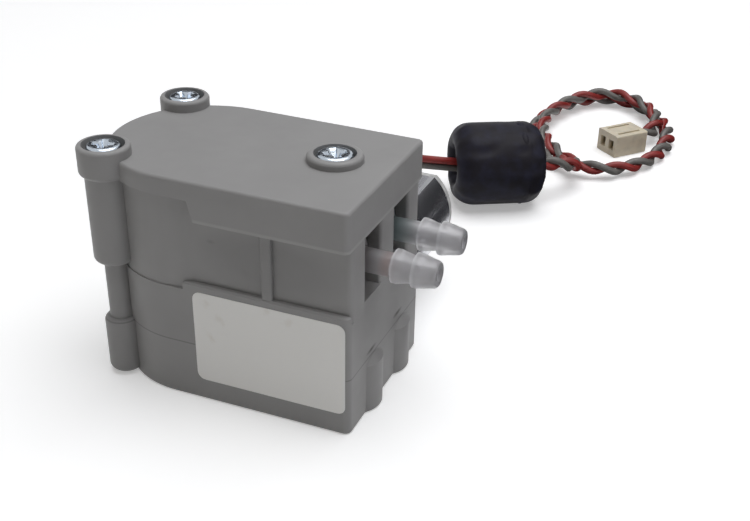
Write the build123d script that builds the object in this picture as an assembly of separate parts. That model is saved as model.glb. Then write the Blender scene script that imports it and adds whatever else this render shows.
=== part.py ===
from build123d import *
import math
import os

# Small roller pump for soft tubing: a moulded D-shaped head in four layers, a worm and
# gear train below the rotor, and a flat-sided d.c. motor on the back wall.
# Frame: Z is the rotor axis, z = 0 the base, +X towards the hose barbs, -Y the label side.

# ---------------------------------------------------------------- driving dimensions, mm
cover_w = 31.5                 # width over the cover
face_x = 32.4                  # right-hand face, from the rotor axis
base_h = 10.6                  # lower seam
case_h = 20.8                  # upper seam
ledge_h = 22.2                 # ledge above the label
rim_h = 37.1                   # top of the head wall, under the cover
deep_h = 33.6                  # lower edge of the deep skirt
top_h = 40.4                   # cover face
boss_h = 42.2                  # screw bosses on the ears
wall = 2.0

cover_r = cover_w / 2
case_r = 15.2                  # lower layers, half width
round_r = 15.0                 # head wall round the track
neck_r = 14.2                  # recessed head wall beside the tube legs

ear_x, ear_y = -11.2, 12.1     # ear screws
mid_screw = (22.6, 1.2)        # third cover screw
ear_cover_r, ear_head_r, ear_post_r, ear_base_r = 4.25, 3.45, 1.95, 2.9

port_y, port_z = 5.9, 27.9     # hose ports
slot_w = 6.1

# tube and rotor
tube_r, tube_bore_r = 2.45, 1.55
track_r = 13.1                 # track wall the tube lies against
squeezed = 2.2                 # tube thickness under the rollers
flat_h = 6.3                   # and its height there
tube_line_r = track_r - squeezed / 2 - 0.05
leave_deg = 70                 # where the tube legs leave the arc
open_out = 8.5                 # length over which the squeezed tube turns round
roller_r, roller_h = 2.6, 6.2
orbit_r = track_r - squeezed - 0.25 - roller_r
roller_z = port_z - roller_h / 2
plate_t = 1.5
shaft_r = 1.5

# gears
module_mm = 0.5
out_teeth, pinion_teeth, wheel_teeth = 32, 12, 22
idler_x = module_mm * (out_teeth + pinion_teeth) / 2
worm_r = 3.33                  # pitch radius, single start
worm_x = idler_x + module_mm * wheel_teeth / 2 + worm_r
worm_z = 15.0
out_gear_z, out_gear_t = 5.7, 3.2
wheel_t = 3.6
floor_h = case_h + 1.7         # floor of the rotor chamber

# motor
can_r, can_flat = 10.2, 15.4   # round sides and the distance between the flats
can_y0, can_y1 = case_r, 38.7
cap_t = 2.3
motor_shaft_r = 1.0
terminal_x = 6.0

# leads
wire_d = 1.7
pair_d = 2 * wire_d
ferrite_l, ferrite_r, ferrite_bore_r = 21.0, 9.45, 3.2
ferrite_at = (27.2, 79.8)
ferrite_deg = 30
coil_at = (42.0, 127.6)
coil_a, coil_b = 16.3, 26.8    # centre line of the coil, half axes
coil_deg = 2
coil_h = 5.7
plug_at = (48.7, 123.0)
plug_deg = 50
plug_l, plug_w, plug_h = 10.0, 7.5, 5.8

# ---------------------------------------------------------------- helpers
def d_plan(r, right, corner):
    """Half-round about the rotor axis, straight to the right, with eased corners."""
    plan = Circle(r) + Pos(right / 2, 0) * Rectangle(right, 2 * r)
    return fillet(plan.vertices().sort_by(Axis.X)[-2:], corner)


def slab(sketch, z0, z1):
    return extrude(Pos(0, 0, z0) * sketch, z1 - z0)


def rod(x, y, r, z0, z1):
    return Pos(x, y, z0) * extrude(Circle(r), z1 - z0)


def box_between(x0, x1, y0, y1, z0, z1):
    return Pos((x0 + x1) / 2, (y0 + y1) / 2, (z0 + z1) / 2) * Box(x1 - x0, y1 - y0, z1 - z0)


def edge_at(part, z, tol=0.01):
    return part.edges().filter_by(lambda e: abs(e.center().Z - z) < tol
                                  and e.bounding_box().size.Z < tol)


def ears(r, z0, z1, bottom=0, top=0):
    """A pair of ear posts, their free ends rounded over."""
    post = rod(0, 0, r, z0, z1)
    if bottom:
        post = fillet(edge_at(post, z0), bottom)
    if top:
        post = fillet(edge_at(post, z1), top)
    return [Pos(ear_x, s * ear_y) * post for s in (-1, 1)]


def add(part, pieces):
    for piece in pieces:
        part = part + piece
    return part


def cut(part, pieces):
    for piece in pieces:
        part = part - piece
    return part


def ear_holes(r, z0, z1):
    return [rod(ear_x, s * ear_y, r, z0, z1) for s in (-1, 1)]


def along_y(sketch, y0, y1):
    """Extrude an XZ sketch from y0 to y1."""
    return extrude(Plane(origin=(0, y0, 0), x_dir=(-1, 0, 0), z_dir=(0, 1, 0)) * sketch, y1 - y0)


def can_profile(r, flat, grow=0.0):
    """Motor outline about its own axis: round sides, flat top and bottom."""
    return Pos(-worm_x, worm_z) * (Circle(r + grow) & Rectangle(3 * r, flat + 2 * grow))


def one(shape):
    solids = shape.solids()
    return solids[0] if len(solids) == 1 else Compound(children=list(solids))


# ---------------------------------------------------------------- cases
def base_case():
    """Floor of the gear box, with the two half-round columns on the right face."""
    outer = slab(d_plan(case_r, face_x, 1.2), 0, base_h)
    outer = fillet(edge_at(outer, 0), 0.5)
    outer = add(outer, ears(ear_base_r, 0.3, base_h + 0.4, bottom=1.4, top=0.9))
    outer -= slab(d_plan(case_r, face_x, 1.2), base_h, base_h + 2)
    column = rod(face_x - 3.3, 0, 4.6, 0, base_h - 0.2)
    column = chamfer(edge_at(column, base_h - 0.2), 1.2)
    column = fillet(edge_at(column, 0), 0.4)
    outer = add(outer, [Pos(0, y) * column for y in (-5.1, 7.2)])
    inner = slab(d_plan(case_r - wall, face_x - wall - 1.2, 1.0), 2.2, base_h + 1)
    part = outer - inner
    part += rod(0, 0, 4.2, 1.5, 4.8)                      # boss of the rotor shaft bush
    part += rod(idler_x, 0, 2.2, 1.5, 4.8)                # boss of the idler axle
    part = cut(part, ear_holes(1.35, 3.5, base_h + 2))
    part = cut(part, [rod(0, 0, 2.6, 1.2, 6), rod(idler_x, 0, 1.0, 1.2, 6)])
    motor_room = along_y(can_profile(3.3, 20), case_r - wall - 1, case_r + 1)
    return part - motor_room


def gear_case():
    """Middle layer: open ring with slim posts, the label block and the motor wall."""
    part = slab(d_plan(case_r, face_x, 1.2), base_h, ledge_h)
    part -= box_between(-20, 3.2, -20, 20, case_h, ledge_h + 1)
    part -= box_between(0, 40, -neck_r - 0.05, 20, case_h, ledge_h + 1)
    rim = edge_at(part, ledge_h).filter_by(lambda e: e.center().Y < -case_r + 0.5)
    part = chamfer(rim, 0.3)                              # ledge above the label
    part = add(part, ears(ear_post_r, base_h + 0.4, case_h + 0.8))
    part -= slab(head_plan(), case_h, ledge_h + 1)
    part -= slab(d_plan(case_r - wall, face_x - wall, 1.0), base_h - 1, case_h)
    # inner post that carries the free end of the worm shaft
    post = box_between(worm_x - 3, worm_x + 3, -case_r + 1, -8.2, base_h, case_h)
    part += post
    part = cut(part, ear_holes(1.35, base_h - 1, case_h + 2))
    part -= along_y(can_profile(2.0, 20), -10.6, 0)       # seat of the worm end bush
    part -= along_y(can_profile(3.3, 20), case_r - wall - 1, case_r + 1)
    for s in (-1, 1):
        part -= along_y(Pos(-worm_x + s * 8, worm_z) * Circle(1.1), case_r - wall - 1, case_r + 1)
    return part


def leg_points(y_sign):
    """Centre line of one leg: tangent to the arc, then straight to the port."""
    a = math.radians(leave_deg)
    ux, uy = math.cos(a), math.sin(a)
    leave = (tube_line_r * ux, tube_line_r * uy)
    opened = (leave[0] + open_out * uy, leave[1] - open_out * ux)
    knee = (leave[0] + (leave[1] - port_y) * uy / ux, port_y)
    return [(x, y_sign * y) for x, y in (leave, opened, knee, (27.6, port_y))]


def channel(y_sign):
    """Plan of the groove round one leg: as wide as the tube, tapering to the track."""
    widths = (squeezed / 2 + 0.1, tube_r + 0.25, tube_r + 0.25, tube_r + 0.25)
    spots = [Pos(x, y) * Circle(r) for (x, y), r in zip(leg_points(y_sign), widths)]
    plan = Sketch()
    for a, b in zip(spots, spots[1:]):
        plan += make_hull(a.edges() + b.edges())
    return plan


def head_plan():
    """Round over the track, narrower beside the tube legs."""
    neck = fillet(Rectangle(face_x, 2 * neck_r).vertices().sort_by(Axis.X)[-2:], 1.0)
    return Circle(round_r) + Pos(face_x / 2, 0) * neck


def head_housing():
    """Head with the U-shaped track, the two tube channels and the open port slots."""
    part = slab(head_plan(), case_h, rim_h)
    part = add(part, ears(ear_head_r, case_h + 0.8, rim_h, bottom=1.1))
    rib = box_between(17.2, 19.1, -neck_r - 0.85, -neck_r + 0.5, ledge_h, deep_h - 0.05)
    part += fillet(rib.edges().filter_by(Axis.Z).sort_by(Axis.Y)[:2], 0.4)
    # rotor chamber, open upwards, and the hole for the rotor shaft
    part -= rod(0, 0, track_r, floor_h, rim_h + 1)
    part -= rod(0, 0, 2.6, case_h - 1, case_h + 3)
    # tube channels: the width of the tube, straight up to the cover
    for s in (-1, 1):
        part -= slab(channel(s), port_z - 3.5, rim_h + 1)
        part -= box_between(27.4, face_x + 1, s * port_y - slot_w / 2, s * port_y + slot_w / 2,
                            ledge_h, rim_h + 1)
        part -= box_between(28.4, 30.1, s * port_y - 3.6, s * port_y + 3.6, port_z - 3.7, rim_h + 1)
    # room for the skirt of the cover on the right end
    part -= box_between(face_x - 1.5, face_x + 1, -20, 20, deep_h, rim_h + 1)
    slot_edges = part.edges().filter_by(Axis.Z).filter_by(
        lambda e: abs(e.center().X - face_x) < 0.05 and abs(e.center().Y) < 9.5)
    part = fillet(slot_edges, 0.6)
    part = cut(part, ear_holes(1.35, case_h - 1, rim_h + 1))
    part -= rod(*mid_screw, 1.35, 26, rim_h + 1)
    part -= rod(idler_x, 0, 1.0, case_h - 1, case_h + 1.4)
    return part


def top_cover():
    """Cover: thin skirt round the head, deep skirt over the tube legs, three bosses."""
    part = slab(d_plan(cover_r, face_x, 1.0), rim_h, top_h)
    part = fillet(edge_at(part, top_h), 0.6)
    deep = slab(d_plan(cover_r, face_x, 1.0), deep_h, rim_h + 0.2)
    deep -= slab(d_plan(round_r + 0.1, face_x, 0.9), deep_h - 1, rim_h) & box_between(
        -20, 5.8, -20, 20, 0, 50)
    deep -= box_between(-20, face_x - 1.4, -neck_r - 0.1, neck_r + 0.1, deep_h - 1, rim_h)
    slant = Polygon((-25, deep_h - 1), (6.55, deep_h - 1), (5.4, rim_h), (5.4, rim_h + 1),
                    (-25, rim_h + 1), align=None)
    deep -= extrude(Plane.XZ.offset(-30) * slant, 60)
    part += deep
    part = add(part, ears(ear_cover_r, rim_h, boss_h, bottom=0.9, top=0.6))
    ring = rod(*mid_screw, 4.65, top_h - 0.5, top_h + 1.35)
    ring = fillet(edge_at(ring, top_h + 1.35), 0.7)
    part += ring
    part = cut(part, [rod(ear_x, s * ear_y, 3.4, top_h, boss_h + 1) for s in (-1, 1)])
    part -= rod(*mid_screw, 3.5, top_h - 0.4, top_h + 3)
    part = cut(part, ear_holes(1.35, rim_h - 1, boss_h))
    part -= rod(*mid_screw, 1.35, rim_h - 1, top_h)
    part -= rod(0, 0, 2.6, rim_h - 1, rim_h + 1.9)       # pocket of the upper shaft bush
    return part


def label():
    plan = RectangleRounded(26.8, 16.8, 1.4)
    return extrude(Plane(origin=(18.3, -case_r, 12.45), x_dir=(1, 0, 0), z_dir=(0, -1, 0)) * plan,
                   0.12)


# ---------------------------------------------------------------- screws
def pan_screw(x, y, z_seat, length, head_r=2.75, head_h=1.75, shank_r=1.25):
    """Pan-head screw with a cross recess, head up."""
    head = Pos(0, 0, z_seat) * extrude(Circle(head_r), head_h)
    head = chamfer(edge_at(head, z_seat + head_h), head_h * 0.4, head_h * 0.6)
    shank = rod(0, 0, shank_r, z_seat - length, z_seat)
    shank = chamfer(edge_at(shank, z_seat - length), shank_r * 0.5)
    screw = head + shank
    for a in (0, 90):
        arm = Rot(0, 0, a + 20) * Box(head_r * 1.05, head_r * 0.26, 2 * 0.6 * head_h)
        screw -= Pos(0, 0, z_seat + head_h) * arm
    return Pos(x, y) * screw


def cover_screws():
    long_one = [pan_screw(ear_x, s * ear_y, top_h, 35.5) for s in (-1, 1)]
    return Compound(children=[one(p) for p in long_one]
                    + [one(pan_screw(*mid_screw, top_h - 0.4, 12, head_r=3.05))])


def motor_screws():
    """Two small screws through the case wall into the motor face."""
    out = []
    for s in (-1, 1):
        screw = pan_screw(0, 0, 0, 3.4, head_r=1.7, head_h=1.1, shank_r=0.95)
        out.append(one(Pos(worm_x + s * 8, case_r - wall, worm_z) * Rot(90, 0, 0) * screw))
    return Compound(children=out)


# ---------------------------------------------------------------- tube and ports
def hose_barb(y_sign):
    """Double-barb fitting, turned about its own bore."""
    r = [(21.5, 1.45), (28.5, 1.45), (28.5, 3.4), (30.0, 3.4), (30.0, 2.0), (36.1, 2.0),
         (36.1, 2.8), (36.7, 2.8), (39.5, 2.15), (39.5, 2.85), (40.1, 2.85), (43.1, 2.2),
         (43.4, 1.95), (43.4, 1.1), (21.5, 1.1)]
    profile = Polygon(*r, align=None)
    turned = revolve(Plane.XZ * profile, Axis.X)
    return Pos(0, y_sign * port_y, port_z) * turned


def tube_collar(y_sign):
    """Coloured sleeve over the tube end, behind the fitting's flange."""
    ring = Circle(2.66) - Circle(tube_r + 0.01)
    return Pos(24.6, y_sign * port_y, port_z) * Rot(0, 90, 0) * extrude(ring, 3.4)


def tube_section(half_w, half_h):
    """Round where the two halves are equal, else flattened: straight sides, bulged ends."""
    flat = half_w < half_h
    side = half_w if flat else half_w * math.cos(math.radians(15))
    rise = half_h - 0.35 * half_w if flat else half_w * math.sin(math.radians(15))
    corners = [(rise, side), (-rise, side), (-rise, -side), (rise, -side)]
    mids = [(0, half_w), (-half_h, 0), (0, -half_w), (half_h, 0)]
    edges = []
    for k, mid in enumerate(mids):
        ends = corners[k], corners[(k + 1) % 4]
        edges.append(Line(*ends) if flat and k % 2 == 0 else ThreePointArc(ends[0], mid, ends[1]))
    return make_face(edges)


def pump_tube():
    """Silicone tube: round legs and the arc pressed flat against the track wall."""
    arc = CenterArc((0, 0, port_z), tube_line_r, leave_deg, 360 - 2 * leave_deg)
    sections = ((tube_r, squeezed / 2, flat_h / 2), (tube_bore_r, 0.2, flat_h / 2 - 1.0))
    skins = []
    for round_a, flat_w, flat_t in sections:
        flat, full = tube_section(flat_w, flat_t), tube_section(round_a, round_a)
        skin = sweep(Plane(origin=arc @ 0, z_dir=arc % 0, x_dir=(0, 0, 1)) * flat, arc)
        for s in (-1, 1):
            leave, opened, knee, port = [Vector(x, y, port_z) for x, y in leg_points(s)]
            near, far = [Plane(origin=at, z_dir=opened - leave, x_dir=(0, 0, 1))
                         for at in (leave, opened)]
            skin += loft([near * flat, far * full], ruled=True)
            skin += sweep(far * full, FilletPolyline([opened, knee, port], radius=9))
        skins.append(skin)
    return skins[0] - skins[1]


# ---------------------------------------------------------------- gears
def gear_plan(teeth, phase=0.0, backlash=0.12):
    """Spur gear outline with straight-flanked teeth; phase in tooth pitches."""
    r = module_mm * teeth / 2
    root, tip = r - 1.25 * module_mm, r + 0.9 * module_mm
    half = (math.pi * module_mm / 2 - backlash) / 2
    slope = math.tan(math.radians(20))
    pts = []
    for i in range(teeth):
        mid = 2 * math.pi * (i + phase) / teeth
        for rr, side in ((root, -1), (tip, -1), (tip, 1), (root, 1)):
            ang = mid + side * (half - (rr - r) * slope) / rr
            pts.append((rr * math.cos(ang), rr * math.sin(ang)))
    return Polygon(*pts, align=None)


def output_gear():
    part = slab(gear_plan(out_teeth, 0.5), out_gear_z, out_gear_z + out_gear_t)
    part += rod(0, 0, 3.2, out_gear_z + out_gear_t, out_gear_z + out_gear_t + 2.2)
    return part - rod(0, 0, shaft_r, 0, 20)


def idler_gear():
    """Compound gear: pinion below, worm wheel above, on a fixed axle."""
    part = slab(gear_plan(pinion_teeth, 0.0), out_gear_z - 0.3, worm_z - wheel_t / 2)
    lead = math.degrees(math.atan(module_mm / (2 * worm_r)))
    turn = wheel_t * math.tan(math.radians(lead)) / (module_mm * wheel_teeth / 2)
    layers = []
    for k in (-1, 0, 1):
        z = worm_z + k * wheel_t / 2
        layers.append(Pos(0, 0, z) * Rot(0, 0, math.degrees(k * turn / 2) * worm_hand)
                      * gear_plan(wheel_teeth, wheel_phase, backlash=0.2))
    part += loft(layers, ruled=True)
    part += rod(0, 0, 3.0, worm_z + wheel_t / 2, worm_z + wheel_t / 2 + 1.2)
    part -= rod(0, 0, 1.06, 0, 30)
    return Pos(idler_x, 0) * part


worm_hand = 1
wheel_phase = 0.0


def worm():
    """Single-start worm with straight flanks, bored for the motor shaft."""
    pitch = math.pi * module_mm
    root, tip = worm_r - 1.2 * module_mm, worm_r + 0.85 * module_mm
    length = 11.0
    flank = math.tan(math.radians(20))
    half = (pitch / 2 - 0.1) / 2
    helix = Helix(pitch=pitch, height=length - pitch, radius=worm_r, lefthand=worm_hand < 0)
    start = helix @ 0
    deep, high = root - worm_r - 0.15, tip - worm_r
    profile = Polygon((deep, -half - (-deep) * flank), (high, -half + high * flank),
                      (high, half - high * flank), (deep, half + (-deep) * flank), align=None)
    plane = Plane(origin=start, x_dir=(1, 0, 0), z_dir=(0, 1, 0))
    thread = sweep(plane * Rot(0, 0, 0) * profile, helix, is_frenet=True)
    core = rod(0, 0, root, -0.9, length - pitch + 0.9)
    part = (core + thread) - rod(0, 0, motor_shaft_r, -5, 30)
    part = Pos(0, 0, -(length - pitch) / 2) * part
    return Pos(worm_x, 0, worm_z) * Rot(90, 0, 0) * part


# ---------------------------------------------------------------- rotor
def spread(piece):
    return [Rot(0, 0, a) * piece for a in (90, 210, 330)]


def rotor_hub():
    """Lower plate and spacer boss, with three cheeks between the rollers."""
    plan = Circle(10.3)
    for a in (30, 150, 270):
        plan -= Rot(0, 0, a) * Pos(13.5, 0) * Circle(6.2)
    part = slab(plan, roller_z - 0.3 - plate_t, roller_z - 0.3)
    part = chamfer(edge_at(part, roller_z - 0.3 - plate_t), 0.25)
    part += rod(0, 0, 4.2, roller_z - 0.3, roller_z + roller_h + 0.3)
    part = cut(part, spread(rod(orbit_r, 0, 0.8, 0, 40)))
    return part - rod(0, 0, shaft_r, 0, 40)


def rotor_plate():
    plan = Circle(10.3)
    for a in (30, 150, 270):
        plan -= Rot(0, 0, a) * Pos(13.5, 0) * Circle(6.2)
    z0 = roller_z + roller_h + 0.3
    part = slab(plan, z0, z0 + plate_t)
    part = chamfer(edge_at(part, z0 + plate_t), 0.25)
    part += rod(0, 0, 3.4, z0 + plate_t, z0 + plate_t + 0.8)
    part = cut(part, spread(rod(orbit_r, 0, 0.8, 0, 40)))
    return part - rod(0, 0, shaft_r, 0, 40)


def roller_pins():
    pin = rod(orbit_r, 0, 0.8, roller_z - 0.3 - plate_t, roller_z + roller_h + 0.3 + plate_t + 0.3)
    return Compound(children=[one(p) for p in spread(pin)])


def roller(angle):
    body = rod(0, 0, roller_r, roller_z, roller_z + roller_h)
    body = chamfer(edge_at(body, roller_z) + edge_at(body, roller_z + roller_h), 0.3)
    body -= rod(0, 0, 0.86, 0, 40)
    return Rot(0, 0, angle) * Pos(orbit_r, 0) * body


def rotor_shaft():
    shaft = rod(0, 0, shaft_r, 1.4, rim_h + 1.6)
    return chamfer(edge_at(shaft, 1.4) + edge_at(shaft, rim_h + 1.6), 0.25)


def bush(z0, z1, r=2.6, flange=0.0):
    part = rod(0, 0, r, z0, z1)
    if flange:
        part += rod(0, 0, flange, z1 - 0.5, z1)
    return part - rod(0, 0, shaft_r + 0.04, z0 - 1, z1 + 1)


def idler_axle():
    return rod(idler_x, 0, 1.0, 1.2, case_h + 1.4)


# ---------------------------------------------------------------- motor
def motor_can():
    """Drawn can with flats top and bottom, closed at the gear case end."""
    part = along_y(can_profile(can_r, can_flat), can_y0, can_y1)
    part = fillet(part.edges().filter_by(lambda e: abs(e.center().Y - can_y0) < 0.01), 0.7)
    part -= along_y(can_profile(can_r - 0.7, can_flat - 1.4), can_y0 + 0.8, can_y1 + 1)
    part += along_y(can_profile(3.1, 20), can_y0 - 1.4, can_y0 + 2.4)
    part -= along_y(can_profile(2.2, 20), can_y0 - 2, can_y0 + 3)
    for s in (-1, 1):
        part -= along_y(Pos(-worm_x + s * 8, worm_z) * Circle(1.0), can_y0 - 1, can_y0 + 1.5)
    return part


def motor_front_bush():
    part = along_y(can_profile(2.2, 20), can_y0 - 1.4, can_y0 + 2.4)
    return part - along_y(can_profile(motor_shaft_r + 0.04, 20), can_y0 - 3, can_y0 + 4)


def motor_end_cap():
    """Moulded end bell with its bearing hub and the two terminal slots."""
    part = along_y(can_profile(can_r, can_flat), can_y1, can_y1 + cap_t)
    part = fillet(part.edges().filter_by(lambda e: abs(e.center().Y - can_y1 - cap_t) < 0.01), 1.4)
    part += along_y(can_profile(can_r - 0.75, can_flat - 1.5), can_y1 - 1.6, can_y1)
    part += along_y(can_profile(3.0, 20), can_y1 + cap_t - 0.2, can_y1 + cap_t + 1.3)
    part -= along_y(can_profile(motor_shaft_r + 0.04, 20), can_y1 - 3, can_y1 + cap_t + 0.6)
    for s in (-1, 1):
        slot = Pos(-worm_x + s * terminal_x, worm_z + 2) * Rectangle(0.5, 2.3)
        part -= along_y(slot, can_y1 - 3, can_y1 + 5)
    return part


def motor_terminals():
    out = []
    for s in (-1, 1):
        tab = along_y(Pos(-worm_x + s * terminal_x, worm_z + 2) * Rectangle(0.5, 2.3), can_y1 - 1.5,
                      can_y1 + cap_t + 3.4)
        out.append(one(tab))
    return Compound(children=out)


def motor_magnets():
    out = []
    ring = can_profile(can_r - 0.75, 60) - can_profile(can_r - 3.2, 60)
    for s in (-1, 1):
        keep = Pos(-worm_x + s * 9, worm_z) * Rectangle(8.4, 12.4)
        out.append(one(along_y(ring & keep, can_y0 + 4.5, can_y0 + 18)))
    return Compound(children=out)


def motor_shaft():
    part = along_y(can_profile(motor_shaft_r, 20), -9.9, can_y1 + cap_t + 0.4)
    return part


def armature():
    """Three-pole laminated armature."""
    plan = Circle(2.6)
    for a in (90, 210, 330):
        plan += Rot(0, 0, a) * Pos(3.6, 0) * Rectangle(3.4, 2.0)
        plan += Rot(0, 0, a) * ((Circle(6.5) - Circle(5.1)) & Pos(6.4, 0) * Rectangle(6, 9.4))
    plan -= Circle(motor_shaft_r)
    return along_y(Pos(-worm_x, worm_z) * plan, can_y0 + 5, can_y0 + 17)


def commutator():
    ring = can_profile(2.3, 20) - can_profile(motor_shaft_r, 20)
    return along_y(ring, can_y0 + 17.6, can_y0 + 21.2)


def worm_end_bush():
    ring = can_profile(2.0, 20) - can_profile(motor_shaft_r + 0.04, 20)
    return along_y(ring, -10.6, -8.2)


# ---------------------------------------------------------------- leads
def turned(x, y, deg):
    a = math.radians(deg)
    return (x * math.cos(a) - y * math.sin(a), x * math.sin(a) + y * math.cos(a))


def ferrite_end(side):
    dx, dy = turned(side * ferrite_l / 2, 0, ferrite_deg)
    return (ferrite_at[0] + dx, ferrite_at[1] + dy)


def on_ferrite(piece):
    return Pos(*ferrite_at, ferrite_r) * Rot(0, 0, ferrite_deg) * Rot(0, 90, 0) * piece


def ferrite_body():
    return rod(0, 0, ferrite_r - 0.9, -ferrite_l / 2 + 1.2, ferrite_l / 2 - 1.2)


def ferrite_core():
    ring = ferrite_body() - rod(0, 0, ferrite_bore_r, -ferrite_l, ferrite_l)
    return on_ferrite(ring)


def ferrite_sleeve():
    """Shrink sleeve: a skin round the core that folds in over both ends."""
    skin = rod(0, 0, ferrite_r, -ferrite_l / 2, ferrite_l / 2)
    skin = fillet(skin.edges().filter_by(GeomType.CIRCLE), 2.2)
    skin = cut(skin, [rod(0, 0, ferrite_bore_r + 1.8, -ferrite_l, ferrite_l), ferrite_body()])
    return on_ferrite(skin)


# route of the twisted pair: terminal, down to the ferrite, along its bore, to the coil
lead_points = [(worm_x - terminal_x, can_y1 + cap_t + 3.5, worm_z + 2), (13.1, 51.4, 16.5),
               (9.6, 57.9, 14.9), (9.7, 65.5, 12.6), (*ferrite_end(-1.35), 9.9),
               (*ferrite_end(-0.1), 8.3), (*ferrite_end(1.25), 9.0), (43.4, 94.6, 6.0),
               (41.0, 104.5, 3.0)]


def corner_radii(points):
    """Each corner's arc is as large as its two runs allow."""
    out = []
    for a, b, c in zip(points, points[1:], points[2:]):
        u, v = Vector(*b) - Vector(*a), Vector(*c) - Vector(*b)
        turn = math.radians(u.get_angle(v))
        out.append(0.45 * min(u.length, v.length) / math.tan(turn / 2))
    return out


def lead_run():
    radii = corner_radii(lead_points)
    path = FilletPolyline([Vector(*p) for p in lead_points], radius=radii)
    print("lead radii", [round(r, 1) for r in radii], "length", round(path.length, 1))
    tube = sweep(Plane(origin=path @ 0, z_dir=path % 0) * Circle(pair_d / 2), path)
    print("lead volume", round(tube.volume, 1), "section x length",
          round(math.pi * (pair_d / 2) ** 2 * path.length, 1))
    return (tube - lead_coil()).solids().sort_by(SortBy.VOLUME)[-1]   # ends on the coil


def lead_coil():
    """Outer shape of the coiled stretch, with the short tail into the plug."""
    band = Ellipse(coil_a + 3.0, coil_b + 3.0) - Ellipse(coil_a - 3.0, coil_b - 3.0)
    ring = extrude(band, coil_h)
    ring = chamfer(edge_at(ring, coil_h), 1.3)
    part = Pos(*coil_at) * Rot(0, 0, coil_deg) * ring
    rear = turned(plug_l / 2, 0, plug_deg)
    tail = Pos(plug_at[0] + rear[0], plug_at[1] + rear[1], 2.3) * Rot(0, 0, plug_deg) \
        * Rot(0, 90, 0) * extrude(Circle(pair_d / 2), 9.5)
    return part + tail


def lead_connector():
    """Two-way crimp housing with its open contact chambers facing out."""
    body = Pos(0, 0, plug_h / 2) * Box(plug_l, plug_w, plug_h)
    body = fillet(body.edges().filter_by(Axis.X), 0.4)
    for s in (-1, 1):
        body -= Pos(-plug_l / 2 + 3, s * 1.25 * 1.3, plug_h / 2) * Box(6.2, 1.9, 2.6)
        body -= Pos(0, s * 2.2, plug_h) * Box(plug_l - 3, 0.7, 1.2)
    return Pos(*plug_at) * Rot(0, 0, plug_deg) * body


def connector_contacts():
    out = []
    for s in (-1, 1):
        tube = Box(5.2, 1.6, 2.2) - Box(6, 1.1, 1.6)
        out.append(one(Pos(*plug_at) * Rot(0, 0, plug_deg)
                       * Pos(-plug_l / 2 + 3.4, s * 1.25 * 1.3, plug_h / 2) * tube))
    return Compound(children=out)


# ---------------------------------------------------------------- write the nodes
nodes = {
    "base_case": base_case, "gear_case": gear_case, "head_housing": head_housing,
    "top_cover": top_cover, "label": label, "cover_screws": cover_screws,
    "inlet_barb": lambda: hose_barb(-1), "outlet_barb": lambda: hose_barb(1),
    "inlet_collar": lambda: tube_collar(-1), "outlet_collar": lambda: tube_collar(1),
    "pump_tube": pump_tube,
    "rotor_hub": rotor_hub, "rotor_plate": rotor_plate, "rotor_shaft": rotor_shaft,
    "roller_pins": roller_pins, "roller_1": lambda: roller(90), "roller_2": lambda: roller(210),
    "roller_3": lambda: roller(330), "output_gear": output_gear,
    "idler_gear": idler_gear, "idler_axle": idler_axle, "worm": worm,
    "shaft_bush_lower": lambda: bush(1.2, 5.3, flange=3.6),
    "shaft_bush_upper": lambda: bush(rim_h - 0.2, rim_h + 1.8),
    "worm_end_bush": worm_end_bush,
    "motor_can": motor_can, "motor_front_bush": motor_front_bush,
    "motor_end_cap": motor_end_cap, "motor_terminals": motor_terminals,
    "motor_magnets": motor_magnets, "motor_shaft": motor_shaft, "armature": armature,
    "commutator": commutator, "motor_screws": motor_screws,
    "ferrite_core": ferrite_core, "ferrite_sleeve": ferrite_sleeve,
    "lead_run": lead_run, "lead_coil": lead_coil, "lead_connector": lead_connector,
    "connector_contacts": connector_contacts,
}

if __name__ == "__main__":
    os.makedirs("parts", exist_ok=True)
    for name, make in nodes.items():
        export_step(one(make()), f"parts/{name}.step")
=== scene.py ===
"""Looks of a small roller tube pump: finishes, label, screws, ferrite sleeve, leads and stage."""
import math

import bmesh
import bpy
from bpy.props import FloatProperty, FloatVectorProperty, IntProperty, PointerProperty
from mathutils import Matrix, Vector, noise


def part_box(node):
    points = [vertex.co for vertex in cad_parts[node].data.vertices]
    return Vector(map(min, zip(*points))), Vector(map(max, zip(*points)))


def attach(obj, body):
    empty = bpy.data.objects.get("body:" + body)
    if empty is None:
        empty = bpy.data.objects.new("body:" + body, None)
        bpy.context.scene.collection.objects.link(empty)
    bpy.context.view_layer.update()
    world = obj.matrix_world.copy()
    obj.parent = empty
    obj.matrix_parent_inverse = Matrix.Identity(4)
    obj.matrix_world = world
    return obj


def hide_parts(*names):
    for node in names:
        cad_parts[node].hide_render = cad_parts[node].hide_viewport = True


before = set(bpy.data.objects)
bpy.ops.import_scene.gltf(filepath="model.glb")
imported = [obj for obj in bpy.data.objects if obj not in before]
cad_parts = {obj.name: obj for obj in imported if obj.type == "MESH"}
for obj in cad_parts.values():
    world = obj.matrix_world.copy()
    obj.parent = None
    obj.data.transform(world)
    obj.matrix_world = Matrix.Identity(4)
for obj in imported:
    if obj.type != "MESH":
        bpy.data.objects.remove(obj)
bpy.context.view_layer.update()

bl_info = {
    "name": "Roller tube pump",
    "version": (1, 0, 0),
    "blender": (4, 5, 0),
    "location": "3D View > Sidebar > Pump",
    "description": "Dresses a small roller tube pump: moulded head, motor and twisted leads",
    "category": "Object",
}

MM = 0.001


def paint(code):
    """An sRGB hex colour as linear RGBA."""
    parts = [int(code[i:i + 2], 16) / 255 for i in (0, 2, 4)]
    return [c / 12.92 if c <= 0.04045 else ((c + 0.055) / 1.055) ** 2.4 for c in parts] + [1.0]


# ------------------------------------------------------------------ what a user may change
def colour(title, about, code):
    return FloatVectorProperty(name=title, description=about, default=paint(code), size=4,
                               min=0.0, max=1.0, subtype="COLOR")


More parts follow.
